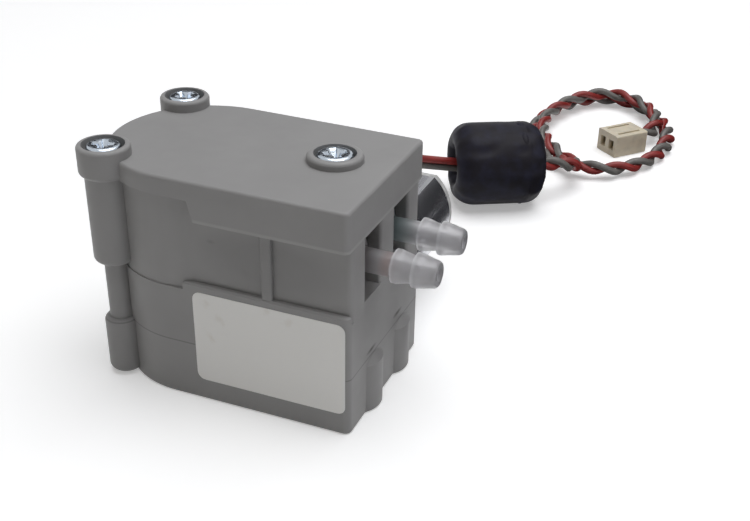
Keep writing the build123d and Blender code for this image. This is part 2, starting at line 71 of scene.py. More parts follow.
def length(title, about, value):
    return FloatProperty(name=title, description=about, default=value, min=0.0,
                         unit="LENGTH", precision=5)


class PumpColours(bpy.types.PropertyGroup):
    housing: colour("Housing", "Light warm grey of the moulded head and gear box", "939291")
    label: colour("Label", "White film of the blank label", "efeeea")
    zinc: colour("Screws", "Bright zinc plating", "aeb6bf")
    barb: colour("Barbs", "Natural, frosted polypropylene", "d2d1d3")
    inlet_sleeve: colour("Inlet sleeve", "Red-brown sleeve on the inlet end of the tube", "8e4a40")
    outlet_sleeve: colour("Outlet sleeve", "Teal sleeve on the outlet end", "2d6664")
    silicone: colour("Tube", "Milky silicone rubber", "d6d5cf")
    acetal: colour("Acetal", "Natural white of rollers, rotor and gears", "e4e2da")
    nickel: colour("Motor can", "Nickel-plated drawn steel", "cbccd1")
    nylon: colour("Motor end cap", "Pale grey nylon", "c4c4c2")
    sleeve: colour("Ferrite sleeve", "Black shrink sleeve", "1c1a20")
    red: colour("Red lead", "PVC insulation of the positive lead", "8d2723")
    grey: colour("Grey lead", "PVC insulation of the negative lead", "6d6a66")
    plug: colour("Plug", "Natural nylon crimp housing", "ddd2bb")


class PumpSizes(bpy.types.PropertyGroup):
    wire: length("Wire", "Diameter of one insulated wire", 1.7 * MM)
    twist: length("Twist", "Length of one full turn of the twisted pair", 12.5 * MM)
    turn_points: IntProperty(name="Points per turn",
                             description="Route points in one turn of the coil",
                             default=14, min=12, max=24)
    wrinkle: length("Wrinkle", "Depth of the shrink sleeve's creases", 0.35 * MM)
    lens: FloatProperty(name="Lens", description="Focal length on a 36 mm sensor", default=53.14,
                        min=20, max=200)


# ------------------------------------------------------------------ hand tools
def choose(*objects):
    bpy.ops.object.select_all(action="DESELECT")
    for obj in objects:
        obj.select_set(True)
    bpy.context.view_layer.objects.active = objects[0] if objects else None
    return objects[0] if objects else None


def settle(obj, name, body, materials, angle=30):
    """Name a finished piece, put its place in its mesh, give its finish and let it ride."""
    choose(obj)
    bpy.ops.object.transform_apply(location=True, rotation=True, scale=True)
    bpy.ops.object.shade_smooth_by_angle(angle=math.radians(angle))
    obj.name = obj.data.name = name
    obj.data.materials.clear()
    for material in materials:
        obj.data.materials.append(material)
    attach(obj, body)
    return obj


def mesh_object(name, points, faces):
    mesh = bpy.data.meshes.new(name)
    mesh.from_pydata(points, [], faces)
    mesh.update()
    obj = bpy.data.objects.new(name, mesh)
    bpy.context.scene.collection.objects.link(obj)
    return obj


def add(tree, kind, fields=None, **inputs):
    """Add a shader node: fields are its settings, inputs are values or sockets to link."""
    made = tree.nodes.new("ShaderNode" + kind)
    for field, value in (fields or {}).items():
        setattr(made, field, value)
    for key, value in inputs.items():
        socket = made.inputs[int(key[1:]) if key[0] == "i" and key[1:].isdigit() else
                             key.replace("_", " ")]
        if isinstance(value, bpy.types.NodeSocket):
            tree.links.new(value, socket)
        else:
            socket.default_value = value
    return made


def finish(name, base, roughness, **sockets):
    """A new material whose shader has these constant values."""
    material = bpy.data.materials.new(name)
    material.use_nodes = True
    shader = material.node_tree.nodes["Principled BSDF"]
    shader.inputs["Base Color"].default_value = base
    shader.inputs["Roughness"].default_value = roughness
    for key, value in sockets.items():
        shader.inputs[key.replace("_", " ")].default_value = value
    return material, material.node_tree, shader


def grain(tree, size, detail=2.0, where=None):
    """Noise whose features are about size metres across."""
    coords = where or add(tree, "TexCoord").outputs["Object"]
    return add(tree, "TexNoise", Vector=coords, Scale=1.0 / size, Detail=detail,
               Roughness=0.5).outputs["Fac"]


def relief(tree, shader, height, depth, distance=1.0 * MM):
    bump = add(tree, "Bump", Strength=depth, Distance=distance, Height=height)
    tree.links.new(bump.outputs["Normal"], shader.inputs["Normal"])


def tint(tree, shader, factor, base, other, low=0.35, high=0.65):
    """Blend the base colour towards another where the pattern is high."""
    ramp = add(tree, "MapRange", None, Value=factor, i1=low, i2=high)
    mix = add(tree, "Mix", {"data_type": "RGBA"}, Factor=ramp.outputs["Result"])
    colours = [s for s in mix.inputs if s.type == "RGBA"]
    colours[0].default_value, colours[1].default_value = base, other
    out = [s for s in mix.outputs if s.type == "RGBA"][0]
    tree.links.new(out, shader.inputs["Base Color"])


def rough_by(tree, shader, factor, low, high):
    ramp = add(tree, "MapRange", None, Value=factor, i3=low, i4=high)
    tree.links.new(ramp.outputs["Result"], shader.inputs["Roughness"])


def overlay(tree, shader, factor, other):
    """Lay another colour over what the base colour is now, where factor is 1."""
    mix = add(tree, "Mix", {"data_type": "RGBA"}, Factor=factor)
    under, over = [s for s in mix.inputs if s.type == "RGBA"]
    target = shader.inputs["Base Color"]
    if target.is_linked:
        tree.links.new(target.links[0].from_socket, under)
    else:
        under.default_value = target.default_value
    over.default_value = other
    tree.links.new([s for s in mix.outputs if s.type == "RGBA"][0], target)


def patch(tree, centre, reach, strength=1.0, soft=0.4):
    """Strength inside an ellipsoid of the piece's own space, fading to 0 at its surface."""
    coords = add(tree, "TexCoord").outputs["Object"]
    place = add(tree, "Mapping", {"vector_type": "TEXTURE"}, Vector=coords,
                Location=Vector(centre) * MM, Scale=Vector(reach) * MM)
    far = add(tree, "VectorMath", {"operation": "LENGTH"}, Vector=place.outputs["Vector"])
    return add(tree, "MapRange", None, Value=far.outputs["Value"], i1=1.0, i2=soft,
               i4=strength).outputs["Result"]


def scaled(base, k):
    return [min(1.0, c * k) for c in base[:3]] + [1.0]


# ------------------------------------------------------------------ finishes
# places and half sizes of marks on the pieces, in millimetres
EVERYWHERE = 300
PARTING_Z, SKIRT_EDGE_Z = 10.6, 33.75
PORT_Y, PORT_Z = 5.9, 27.9
CREST_FACES = (36.05, 39.75)
SLIT_SHADE_AND_GRIME = (((32.4, -6.3, 11.6), (1.2, 2.3, 0.5)), ((32.4, 5.2, 12.2), (1.2, 2.3, 0.55)))
RECESS_PAINTED_SHADE = (19, -14.8, 28), (15, 1.6, 7)
WALL_SPECK = (8.3, -14.2, 30.0), (0.9, 2.0, 0.5)


def moulded_abs(name, base, skirt=False, recess=False):
    # injection-moulded ABS: a fine spark-eroded satin skin with a faint flow mottle
    material, tree, shader = finish(name, base, 0.48, Specular_IOR_Level=0.42)
    tint(tree, shader, grain(tree, 9 * MM), base, scaled(base, 0.93), 0.3, 0.75)
    rough_by(tree, shader, grain(tree, 2.5 * MM), 0.42, 0.56)
    relief(tree, shader, grain(tree, 0.22 * MM, 1.0), 0.12, 0.05 * MM)
    # the parting line of base and gear case, a painted highlight along the skirt's lower edge,
    # painted shade in the recess below it, and painted shade of a slit over each column, in a
    # brownish grime tone
    parting = patch(tree, (0, 0, PARTING_Z), (EVERYWHERE, EVERYWHERE, 0.16), 0.7)
    overlay(tree, shader, parting, scaled(base, 0.5))
    if skirt:
        # painted highlight: the skirt's lower edge is lightened as if it caught the light
        rounded_and_lit = patch(tree, (0, 0, SKIRT_EDGE_Z), (EVERYWHERE, EVERYWHERE, 0.5), 0.7)
        overlay(tree, shader, rounded_and_lit, scaled(base, 1.25))
    if recess:
        # painted shade: the recess wall under the skirt is darkened as if the skirt shaded it
        overlay(tree, shader, patch(tree, *RECESS_PAINTED_SHADE, 0.8, 0.6), scaled(base, 0.78))
    # painted shade of the gap over each column, in a brownish grime tone
    for centre, reach in SLIT_SHADE_AND_GRIME:
        overlay(tree, shader, patch(tree, centre, reach, 0.9, 0.15), paint("2f2823"))
    overlay(tree, shader, patch(tree, *WALL_SPECK, 0.35, 0.1), scaled(base, 0.5))
    return material


def label_film(base):
    # satin polyester film: nearly flat, a few shallow bubbles and a faint handling stain
    material, tree, shader = finish("satin polyester film", base, 0.38, Specular_IOR_Level=0.5)
    tint(tree, shader, grain(tree, 7 * MM, 5.0), base, [0.62, 0.56, 0.47, 1], 0.62, 0.86)
    relief(tree, shader, grain(tree, 2.2 * MM, 1.0), 0.2, 0.12 * MM)
    return material


def zinc_plate(base):
    # blue-passivated zinc on steel: bright, with brushed-out tumbling marks
    material, tree, shader = finish("bright zinc plate", base, 0.2, Metallic=1.0)
    rough_by(tree, shader, grain(tree, 0.5 * MM, 4.0), 0.1, 0.3)
    relief(tree, shader, grain(tree, 0.7 * MM, 3.0), 0.6, 0.12 * MM)
    return material


def natural_pp(name, base, painted_root_shade_and_sleeve_colour):
    # unfilled polypropylene: cloudy, lets soft light through; a painted highlight on the crest
    # faces, and at the root painted shade with the coloured sleeve's colour painted in as if seen
    # through it
    material, tree, shader = finish(name, base, 0.3, IOR=1.49, Transmission_Weight=0.75)
    # painted shade at the root inside the slot, with the sleeve's colour painted in as if seen
    # through the barb
    for centre, reach, strength, code in painted_root_shade_and_sleeve_colour:
        overlay(tree, shader, patch(tree, centre, reach, strength, 0.3), paint(code))
    # painted highlight: each crest face is lightened as if it caught the light
    for x in CREST_FACES:
        rim = patch(tree, (x, 0, PORT_Z), (0.45, EVERYWHERE, EVERYWHERE), 0.75, 0.2)
        overlay(tree, shader, rim, paint("f4f4f6"))
    rough_by(tree, shader, grain(tree, 1.4 * MM), 0.26, 0.36)
    return material


def soft_sleeve(name, base):
    # short coloured tube collar, dull and a little dusty
    material, tree, shader = finish(name, base, 0.6, Specular_IOR_Level=0.35)
    tint(tree, shader, grain(tree, 1.2 * MM, 3.0), base, scaled(base, 0.7))
    return material


def silicone_rubber(base):
    # platinum-cured silicone: milky with a dull, slightly tacky skin
    material, tree, shader = finish("silicone rubber", base, 0.5, Transmission_Weight=0.25,
                                    IOR=1.41)
    rough_by(tree, shader, grain(tree, 1.0 * MM), 0.42, 0.6)
    return material


def white_acetal(base):
    # moulded acetal: waxy white with a low gloss
    material, tree, shader = finish("natural acetal", base, 0.38)
    rough_by(tree, shader, grain(tree, 0.8 * MM), 0.3, 0.46)
    relief(tree, shader, grain(tree, 0.3 * MM), 0.08, 0.04 * MM)
    return material


def nickel_plate(base):
    # nickel over deep-drawn steel: soft mirror with faint draw lines along the can
    material, tree, shader = finish("nickel-plated drawn steel", base, 0.24, Metallic=1.0)
    coords = add(tree, "TexCoord").outputs["Object"]
    drawn = add(tree, "Mapping", Vector=coords, Scale=(1.0, 0.04, 1.0)).outputs["Vector"]
    rough_by(tree, shader, grain(tree, 0.9 * MM, 2.0, drawn), 0.2, 0.32)
    relief(tree, shader, grain(tree, 0.9 * MM, 1.0, drawn), 0.03, 0.02 * MM)
    return material


def bare_metal(name, base, roughness):
    # turned or ground metal: fine tool marks
    material, tree, shader = finish(name, base, roughness, Metallic=1.0)
    rough_by(tree, shader, grain(tree, 0.3 * MM, 3.0), roughness * 0.8, roughness * 1.3)
    return material


def dull_solid(name, base, roughness, size=0.6 * MM):
    # sintered, laminated or glass-filled stuff: matt with a fine speckle
    material, tree, shader = finish(name, base, roughness)
    tint(tree, shader, grain(tree, size, 4.0), base, scaled(base, 0.75), 0.4, 0.6)
    relief(tree, shader, grain(tree, size * 0.6, 2.0), 0.15, 0.05 * MM)
    return material


def shrink_sleeve(base):
    # polyolefin shrink sleeve: black with a blue-violet cast, satin, drawn tight over the core
    material, tree, shader = finish("polyolefin shrink sleeve", base, 0.5,
                                    Specular_IOR_Level=0.12)
    tint(tree, shader, grain(tree, 3.0 * MM, 3.0), base, paint("232330"), 0.4, 0.7)
    rough_by(tree, shader, grain(tree, 1.8 * MM, 3.0), 0.42, 0.6)
    relief(tree, shader, grain(tree, 0.9 * MM, 3.0), 0.15, 0.06 * MM)
    return material


def wire_pvc(name, base):
    # extruded PVC insulation: soft sheen, slightly scuffed
    material, tree, shader = finish(name, base, 0.42)
    tint(tree, shader, grain(tree, 2.0 * MM, 3.0), base, scaled(base, 0.72), 0.4, 0.7)
    rough_by(tree, shader, grain(tree, 1.0 * MM, 3.0), 0.34, 0.52)
    return material


def natural_nylon(base):
    # unfilled nylon housing: cream, slightly waxy, faintly stained at the contacts
    material, tree, shader = finish("natural nylon", base, 0.36, Subsurface_Weight=0.15)
    shader.inputs["Subsurface Radius"].default_value = (1.0 * MM, 0.7 * MM, 0.4 * MM)
    tint(tree, shader, grain(tree, 2.5 * MM, 3.0), base, scaled(base, 0.82), 0.45, 0.75)
    return material


def dress(node, material):
    """A CAD node keeps its shape: weld its loose triangles, smooth its rounds, give its finish."""
    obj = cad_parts[node]
    obj.data.materials.clear()
    obj.data.materials.append(material)
    for polygon in obj.data.polygons:
        polygon.use_smooth = True
    obj.modifiers.new("weld", "WELD").merge_threshold = 0.002 * MM
    split = obj.modifiers.new("edges", "EDGE_SPLIT")
    split.split_angle = math.radians(28)


# ------------------------------------------------------------------ pieces
class PUMP_OT_housing(bpy.types.Operator):
    """Give the four moulded layers of the head and gear box their ABS skin"""
    bl_idname = "pump.housing"
    bl_label = "Housing"

    def execute(self, context):
        base = context.scene.pump_colours.housing
        plain = moulded_abs("moulded ABS", base)
        for node in ("base_case", "gear_case"):
            dress(node, plain)
        dress("head_housing", moulded_abs("moulded ABS, painted recess shade", base, recess=True))
        dress("top_cover", moulded_abs("moulded ABS, worn skirt", base, skirt=True))
        return {"FINISHED"}


class PUMP_OT_label(bpy.types.Operator):
    """Make the blank label: thin film with rounded corners, a little lifted and waved"""
    bl_idname = "pump.label"
    bl_label = "Blank label"

    def execute(self, context):
        low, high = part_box("label")
        centre, size = (low + high) / 2, high - low
        choose()
        bpy.ops.mesh.primitive_grid_add(x_subdivisions=54, y_subdivisions=34, size=1,
                                        location=(centre.x, high.y - 0.02 * MM, centre.z),
                                        rotation=(math.pi / 2, 0, 0))
        film = bpy.context.object
        film.scale = (size.x, size.z, 1)
        bpy.ops.object.transform_apply(location=True, rotation=True, scale=True)
        corner = 1.4 * MM
        for vertex in film.data.vertices:
            x, z = vertex.co.x - centre.x, vertex.co.z - centre.z
            over = Vector((abs(x) - size.x / 2 + corner, 0, abs(z) - size.z / 2 + corner))
            if over.x > 0 and over.z > 0:
                reach = max(over.x, over.z) / over.length
                vertex.co.x = centre.x + math.copysign(size.x / 2 - corner + over.x * reach, x)
                vertex.co.z = centre.z + math.copysign(size.z / 2 - corner + over.z * reach, z)
            wave = noise.noise(Vector((x, 3.0, z)) / (5 * MM))
            vertex.co.y -= (0.03 + 0.03 * wave) * MM
        thick = film.modifiers.new("film", "SOLIDIFY")
        thick.thickness, thick.offset = 0.06 * MM, 0
        bpy.ops.object.modifier_apply(modifier="film")
        settle(film, "blank_label", "body",
               [label_film(context.scene.pump_colours.label)], 40)
        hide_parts("label")
        return {"FINISHED"}


# place, seat height, head radius and turn of the three cover screws
COVER_SCREWS = ((Vector((-11.2, -12.1, 40.4)) * MM, 2.75 * MM, 20),
                (Vector((-11.2, 12.1, 40.4)) * MM, 2.75 * MM, 64),
                (Vector((22.6, 1.2, 40.0)) * MM, 3.05 * MM, 38))


SCREW_HEAD, SCREW_SHANK = 1.75 * MM, 1.25 * MM
LONG_SHANK, SHORT_SHANK = 35.5 * MM, 12 * MM


class PUMP_OT_screws(bpy.types.Operator):
    """Make the pan-head cover screws with their tapered cross recess, and finish the motor's"""
    bl_idname = "pump.screws"
    bl_label = "Screws"

    def pick(self, obj, test):
        """Select the faces whose centre and normal pass the test."""
        mesh = bmesh.from_edit_mesh(obj.data)
        for face in mesh.faces:
            face.select = test(face.calc_center_median(), face.normal)
        bmesh.update_edit_mesh(obj.data)

    def blank(self, head, height, shank, length):
        """A turned blank: domed head with its underside in the plane z = 0, and the shank."""
        choose()
        bpy.ops.mesh.primitive_cylinder_add(vertices=40, radius=head, depth=height,
                                            location=(0, 0, height / 2))
        screw = bpy.context.object
        bpy.ops.object.transform_apply(location=True, rotation=True, scale=True)
        bpy.ops.object.mode_set(mode="EDIT")
        bpy.ops.mesh.select_mode(type="FACE")
        self.pick(screw, lambda c, n: n.z > 0.9)
        bpy.ops.mesh.bevel(offset=0.5 * height, offset_type="OFFSET", segments=5, profile=0.62)
        self.pick(screw, lambda c, n: n.z < -0.9)
        bpy.ops.mesh.inset(thickness=head - shank)
        bpy.ops.mesh.extrude_region_move(TRANSFORM_OT_translate={"value": (0, 0, -length)})
        bpy.ops.transform.resize(value=(0.55, 0.55, 1), center_override=(0, 0, -length))
        bpy.ops.object.mode_set(mode="OBJECT")
        return screw

    def wing(self, long, wide, deep, top, turn):
        """One tapered wing of the recess, wide at the mouth."""
        choose()
        bpy.ops.mesh.primitive_cube_add(size=1, location=(0, 0, top - deep / 2 + 0.15 * MM))
        cutter = bpy.context.object
        cutter.scale = (long, wide, deep + 0.3 * MM)
        cutter.rotation_euler.z = math.radians(turn)
        bpy.ops.object.transform_apply(location=True, rotation=True, scale=True)
        bpy.ops.object.mode_set(mode="EDIT")
        bpy.ops.mesh.select_mode(type="FACE")
        self.pick(cutter, lambda c, n: n.z < -0.9)
        bpy.ops.transform.resize(value=(0.5, 0.5, 1), center_override=(0, 0, top - deep))
        bpy.ops.object.mode_set(mode="OBJECT")
        return cutter

    def hub(self, wide, deep, top):
        """The cone in the middle of the recess."""
        choose()
        bpy.ops.mesh.primitive_cone_add(vertices=20, radius1=wide * 0.25, radius2=wide,
                                        depth=deep + 0.3 * MM,
                                        location=(0, 0, top - deep / 2 + 0.15 * MM))
        return bpy.context.object

    def execute(self, context):
        material = zinc_plate(context.scene.pump_colours.zinc)
        dress("motor_screws", material)
        for number, (place, head, turn) in enumerate(COVER_SCREWS, 1):
            height = SCREW_HEAD
            shank = SHORT_SHANK if number == 3 else LONG_SHANK
            screw = self.blank(head, height, SCREW_SHANK, shank)
            cutters = [self.wing(head * 1.4, head * 0.42, height * 0.75, height, a)
                       for a in (0, 90)]
            cutters.append(self.hub(head * 0.46, height * 0.9, height))
            for cutter in cutters:
                choose(screw)
                cross = screw.modifiers.new("recess", "BOOLEAN")
                cross.operation, cross.solver, cross.object = "DIFFERENCE", "EXACT", cutter
                bpy.ops.object.modifier_apply(modifier="recess")
                bpy.data.objects.remove(cutter)
            choose(screw)
            soft = screw.modifiers.new("worn edges", "BEVEL")
            soft.width, soft.segments, soft.limit_method = 0.07 * MM, 2, "ANGLE"
            soft.angle_limit = math.radians(35)
            bpy.ops.object.modifier_apply(modifier="worn edges")
            screw.location, screw.rotation_euler.z = place, math.radians(turn)
            settle(screw, f"cover_screw_{number}", "body", [material], 35)
            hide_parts("cover_screws")
        return {"FINISHED"}


class PUMP_OT_fluid_path(bpy.types.Operator):
    """Finish the two barbs, their coloured sleeves and the silicone tube"""
    bl_idname = "pump.fluid_path"
    bl_label = "Barbs and tube"

    def execute(self, context):
        colours = context.scene.pump_colours
        # the root patches are painted shade in the slot, with the sleeve's colour painted in as if
        # seen through the barb
        dress("inlet_barb", natural_pp("natural polypropylene, inlet", colours.barb, (
            ((30.0, -PORT_Y, PORT_Z), (5.0, 4.0, 4.0), 0.7, "7c716c"),
            ((35.0, -PORT_Y, PORT_Z), (1.6, 4.0, 4.0), 0.4, "c08f80"))))
        dress("outlet_barb", natural_pp("natural polypropylene, outlet", colours.barb, (
            ((30.5, PORT_Y, PORT_Z), (5.5, 4.0, 4.0), 0.8, "4f7d7c"),)))
        dress("inlet_collar", soft_sleeve("red-brown sleeve", colours.inlet_sleeve))
        dress("outlet_collar", soft_sleeve("teal sleeve", colours.outlet_sleeve))
        dress("pump_tube", silicone_rubber(colours.silicone))
        return {"FINISHED"}


class PUMP_OT_works(bpy.types.Operator):
    """Finish the rotor, rollers, gears, shafts and bushes inside the head"""
    bl_idname = "pump.works"
    bl_label = "Rotor and gears"

    def execute(self, context):
        acetal = white_acetal(context.scene.pump_colours.acetal)
        steel = bare_metal("ground steel", paint("b4b4b6"), 0.22)
        bronze = bare_metal("sintered bronze", paint("a57f4e"), 0.45)
        for node in ("rotor_hub", "rotor_plate", "roller_1", "roller_2", "roller_3",
                     "output_gear", "idler_gear"):
            dress(node, acetal)
        for node in ("rotor_shaft", "roller_pins", "idler_axle", "motor_shaft"):
            dress(node, steel)
        for node in ("shaft_bush_lower", "shaft_bush_upper", "worm_end_bush", "motor_front_bush"):
            dress(node, bronze)
        dress("worm", bare_metal("machined brass", paint("c8a45c"), 0.25))
        dress("commutator", bare_metal("copper", paint("b4704a"), 0.3))
        dress("armature", dull_solid("laminated steel", paint("5a5a5c"), 0.5, 0.4 * MM))
        dress("motor_magnets", dull_solid("bonded ferrite", paint("2b2b2c"), 0.6))
        return {"FINISHED"}


class PUMP_OT_motor(bpy.types.Operator):
    """Finish the motor can, its end cap and terminals"""
    bl_idname = "pump.motor"
    bl_label = "Motor"

    def execute(self, context):
        colours = context.scene.pump_colours
        dress("motor_can", nickel_plate(colours.nickel))
        dress("motor_end_cap", dull_solid("grey nylon", colours.nylon, 0.45, 1.5 * MM))
        dress("motor_terminals", bare_metal("tinned brass", paint("cfcdc4"), 0.28))
        return {"FINISHED"}


# the ferrite lies on the table, turned from the motor's axis
BEAD_AT = Vector((27.2, 79.8, 9.45)) * MM
BEAD_TURN = math.radians(30)
BEAD_LENGTH, BEAD_RADIUS, BEAD_BORE = 21.0 * MM, 9.45 * MM, 3.2 * MM


class PUMP_OT_ferrite(bpy.types.Operator):
    """Make the ferrite ring and the tight, faceted shrink sleeve over it"""
    bl_idname = "pump.ferrite"
    bl_label = "Ferrite and sleeve"

    def close_in(self, obj, side, steps):
        """Draw the open rim at one end in through steps of (place along the axis, radius)."""
        mesh = bmesh.from_edit_mesh(obj.data)
        rim = max(v.co.x * side for v in mesh.verts)
        radius = max(math.hypot(v.co.y, v.co.z) for v in mesh.verts if v.co.x * side > rim - MM)
        for vertex in mesh.verts:
            vertex.select = vertex.co.x * side > rim - 0.1 * MM
        mesh.select_flush(True)
        bmesh.update_edit_mesh(obj.data)
        for along, reach in steps:
            bpy.ops.mesh.extrude_region_move(
                TRANSFORM_OT_translate={"value": ((along - rim) * side, 0, 0)})
            share = reach / radius
            bpy.ops.transform.resize(value=(1, share, share),
                                     center_override=(along * side, 0, 0))
            rim, radius = along, reach

    def barrel(self, facets, radius, half, cuts, steps):
        """An open drum of flat facets along X, drawn in at both ends."""
        choose()
        bpy.ops.mesh.primitive_cylinder_add(vertices=facets, radius=radius, depth=2 * half,
                                            end_fill_type="NOTHING",
                                            rotation=(0, math.pi / 2, 0))
        obj = bpy.context.object
        bpy.ops.object.transform_apply(location=True, rotation=True, scale=True)
        bpy.ops.object.mode_set(mode="EDIT")
        bpy.ops.mesh.select_mode(type="VERT")
        bpy.ops.mesh.select_all(action="SELECT")
        bpy.ops.mesh.subdivide(number_cuts=cuts)
        for side in (-1, 1):
            self.close_in(obj, side, steps)
        return obj

    def tidy(self):
        bpy.ops.mesh.select_all(action="SELECT")
        bpy.ops.mesh.normals_make_consistent(inside=False)
        bpy.ops.object.mode_set(mode="OBJECT")

    def crumple(self, obj, depth):
        """A slightly uneven barrel, pleated on top between its ends, with a fine texture."""
        for vertex in obj.data.vertices:
            x, y, z = vertex.co
            around = Vector((0, y, z))
            away = around.normalized()
            wide = noise.noise(Vector((x / (12 * MM), away.y * 0.9, away.z * 0.9 + 4)))
            pleat = noise.noise(Vector((x / (5 * MM), away.y * 2.4, away.z * 2.4)))
            fine = noise.noise(vertex.co / (2.4 * MM))
            top = min(1.0, max(0.0, (away.z - 0.2) / 0.5))
            middle = 1 - min(1.0, abs(x) / (8.5 * MM)) ** 3
            pleated = 3.0 * middle * top * pleat
            change = depth * (1.2 * wide + pleated + 0.15 * fine) - 0.1 * MM
            reach = min(around.length + change, BEAD_RADIUS)
            vertex.co = Vector((x + 0.5 * depth * fine, away.y * reach, away.z * reach))

    def execute(self, context):
        sizes, colours = context.scene.pump_sizes, context.scene.pump_colours
        half, out, bore = BEAD_LENGTH / 2, BEAD_RADIUS, BEAD_BORE
        sleeve = self.barrel(12, out * 1.045, half - 4.2 * MM, 4,
                             [(half - 2.6 * MM, out - 0.15 * MM), (half - 1.2 * MM, out - 0.9 * MM),
                              (half - 0.3 * MM, out - 2.2 * MM), (half, bore + 2.2 * MM),
                              (half - 0.8 * MM, bore + 1.3 * MM),
                              (half - 2.4 * MM, bore + 0.8 * MM),
                              (half - 4.0 * MM, bore + 0.6 * MM)])
        self.tidy()
        choose(sleeve)
        round_off = sleeve.modifiers.new("round", "SUBSURF")
        round_off.levels = round_off.render_levels = 1
        bpy.ops.object.modifier_apply(modifier="round")
        self.crumple(sleeve, sizes.wrinkle)
        thick = sleeve.modifiers.new("wall", "SOLIDIFY")
        thick.thickness, thick.offset = 0.4 * MM, -1
        bpy.ops.object.modifier_apply(modifier="wall")
        smooth = sleeve.modifiers.new("soft", "SUBSURF")
        smooth.levels = smooth.render_levels = 1
        bpy.ops.object.modifier_apply(modifier="soft")
        ring = self.barrel(32, out - 2.2 * MM, half - 3.6 * MM, 1,
                           [(half - 2.4 * MM, out - 3.4 * MM), (half - 2.3 * MM, bore)])
        bpy.ops.mesh.select_all(action="DESELECT")
        mesh = bmesh.from_edit_mesh(ring.data)
        for edge in mesh.edges:
            edge.select = edge.is_boundary
        bmesh.update_edit_mesh(ring.data)
        bpy.ops.mesh.bridge_edge_loops()
        self.tidy()
        for piece in (sleeve, ring):
            piece.location, piece.rotation_euler.z = BEAD_AT, BEAD_TURN
        settle(sleeve, "shrink_sleeve", "body",
               [shrink_sleeve(colours.sleeve)], 180)
        settle(ring, "ferrite_ring", "body",
               [dull_solid("nickel-zinc ferrite", paint("232225"), 0.5)], 30)
        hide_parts("ferrite_sleeve")
        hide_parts("ferrite_core")
        return {"FINISHED"}


# ------------------------------------------------------------------ leads
def bead_axis(share, height):
    """A point on the line of the bead's bore, share half lengths from its middle."""
    along = Vector((math.cos(BEAD_TURN), math.sin(BEAD_TURN), 0)) * (share * BEAD_LENGTH / 2)
    return Vector((BEAD_AT.x, BEAD_AT.y, height * MM)) + along


# from the terminal down to the bead, through it, and round to the coil's left side
ROUTE = [Vector(p) * MM for p in ((13.83, 44.5, 17.0), (13.1, 51.4, 16.5), (9.6, 57.9, 14.9),
                                  (9.7, 65.5, 12.6))]
ROUTE += [bead_axis(-1.35, 9.9), bead_axis(-0.1, 8.3), bead_axis(1.25, 9.0)]
ROUTE += [Vector(p) * MM for p in ((43.4, 94.6, 6.0), (41.2, 100.6, 3.6))]
COIL_AT = Vector((42.0, 127.6, 0)) * MM
COIL_HALF = Vector((16.3, 26.8, 0)) * MM
COIL_TURN = math.radians(2)
PLUG_AT = Vector((48.7, 123.0, 2.9)) * MM
PLUG_TURN = math.radians(50)
PLUG_LENGTH = 10 * MM


def coil_points(per_turn):
    """Clockwise turns: the first outside on the table, the second inside and on top of it."""
    turns, start = 1.58, math.radians(232)
    points = []
    for k in range(int(turns * per_turn) + 1):
        gone = k / per_turn
        angle = start - math.tau * gone
        second = min(1.0, max(0.0, (gone - 0.72) / 0.28))
        spread = (1.2 - 2.5 * second + 0.45 * math.sin(4 * angle + 1)) * MM
        x = (COIL_HALF.x + spread) * math.cos(angle)
        y = (COIL_HALF.y + spread) * math.sin(angle)
        height = 1.75 + 2.3 * second
        point = Matrix.Rotation(COIL_TURN, 3, "Z") @ Vector((x, y, 0))
        points.append(COIL_AT + point + Vector((0, 0, height * MM)))
    return points


def plug_points():
    """The last of the route: in over the plug's rear, in line with its contacts."""
    out = Vector((math.cos(PLUG_TURN), math.sin(PLUG_TURN), 0))
    return [PLUG_AT + out * (PLUG_LENGTH / 2 + d * MM) + Vector((0, 0, z * MM))
            for d, z in ((5.2, 0.6), (1.2, 0.0))]


def smooth_line(name, points):
    """Points of a NURBS curve of order 3 that has the route as its control points."""
    curve = bpy.data.curves.new(name, "CURVE")
    curve.dimensions, curve.resolution_u = "3D", 14
    spline = curve.splines.new("NURBS")
    spline.points.add(len(points) - 1)
    for made, point in zip(spline.points, points):
        made.co = (*point, 1)
    spline.order_u = 3
    spline.use_endpoint_u = True
    obj = bpy.data.objects.new(name, curve)
    bpy.context.scene.collection.objects.link(obj)
    bpy.context.view_layer.update()
    mesh = bpy.data.meshes.new_from_object(obj)
    line = [v.co.copy() for v in mesh.vertices]
    bpy.data.objects.remove(obj)
    bpy.data.meshes.remove(mesh)
    return line


def travel(line):
    """Distance along the line at each of its points."""
    out = [0.0]
    for a, b in zip(line, line[1:]):
        out.append(out[-1] + (b - a).length)
    return out


def evenly(line, step):
    """The line again, with points a step apart."""
    along, total = travel(line), travel(line)[-1]
    count, out, k = int(total / step), [], 0
    for n in range(count + 1):
        want = total * n / count
        while k < len(along) - 2 and along[k + 1] < want:
            k += 1
        share = (want - along[k]) / max(1e-12, along[k + 1] - along[k])
        out.append(line[k].lerp(line[k + 1], share))
    return out


def tube(points, radius, sides=12):
    """Vertices and faces of a round tube along points, with flat ends."""
    vertices, faces, normal = [], [], None
    for k, point in enumerate(points):
        ahead = points[min(k + 1, len(points) - 1)] - points[max(k - 1, 0)]
        ahead.normalize()
        if normal is None:
            normal = ahead.orthogonal()
        normal = (normal - ahead * normal.dot(ahead)).normalized()
        side = ahead.cross(normal)
        for s in range(sides):
            a = math.tau * s / sides
            vertices.append(point + (normal * math.cos(a) + side * math.sin(a)) * radius)
    for k in range(len(points) - 1):
        for s in range(sides):
            s2 = (s + 1) % sides
            faces.append((k * sides + s, k * sides + s2, (k + 1) * sides + s2,
                          (k + 1) * sides + s))
    faces.append(tuple(range(sides))[::-1])
    faces.append(tuple((len(points) - 1) * sides + s for s in range(sides)))
    return vertices, faces


# the wires lie side by side, red in front, until they are inside the ferrite
TWIST_FROM = 42 * MM


